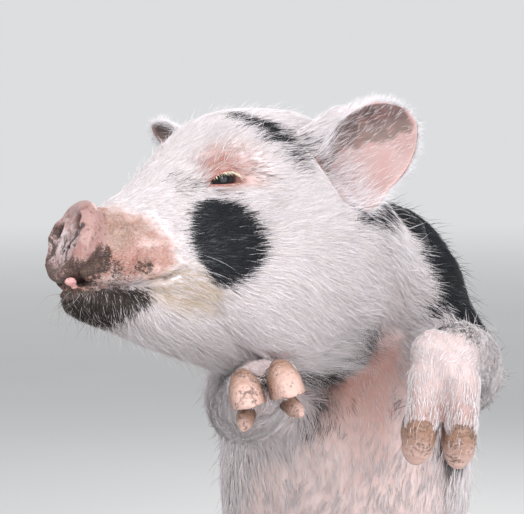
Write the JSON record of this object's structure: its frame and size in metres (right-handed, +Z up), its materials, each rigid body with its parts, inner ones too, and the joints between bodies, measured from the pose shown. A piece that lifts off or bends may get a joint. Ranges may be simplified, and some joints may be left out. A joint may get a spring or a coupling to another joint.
{
  "type": "domestic pig model",
  "caption": "Life-size still model of a young domestic pig reared on its hind legs on a plain base, head turned aside, forelegs held forward.",
  "frame": {"origin": "middle of the base's underside, under the standing pig", "axes": "+Z up, the body faces -Y, +X to the pig's left, the head turned towards -X"},
  "size_m": [0.4408, 0.5937, 0.7819],
  "materials": {
    "hide": "pink skin under white and black bristles",
    "snout": "bare damp pink skin with dried mud",
    "ear": "thin bare skin with fine hair",
    "eye": "wet dark brown",
    "claw": "dull horn, pale at the tips",
    "stand": "plain satin painted board"
  },
  "bodies": {
    "root": {"ear_left": "ear", "ear_right": "ear", "eye_left": "eye", "eye_right": "eye", "forefoot_left_claw_a": "claw", "forefoot_left_claw_b": "claw", "forefoot_left_dewclaw_a": "claw", "forefoot_left_dewclaw_b": "claw", "forefoot_right_claw_a": "claw", "forefoot_right_claw_b": "claw", "forefoot_right_dewclaw_a": "claw", "forefoot_right_dewclaw_b": "claw", "foreleg_left": "hide", "foreleg_right": "hide", "head": "hide", "hindfoot_left_claw_a": "claw", "hindfoot_left_claw_b": "claw", "hindfoot_left_dewclaw_a": "claw", "hindfoot_left_dewclaw_b": "claw", "hindfoot_right_claw_a": "claw", "hindfoot_right_claw_b": "claw", "hindfoot_right_dewclaw_a": "claw", "hindfoot_right_dewclaw_b": "claw", "neck": "hide", "shank_left": "hide", "shank_right": "hide", "snout": "snout", "stand_base": "stand", "tail": "hide", "thigh_left": "hide", "thigh_right": "hide", "torso": "hide"}
  },
  "joints": []
}
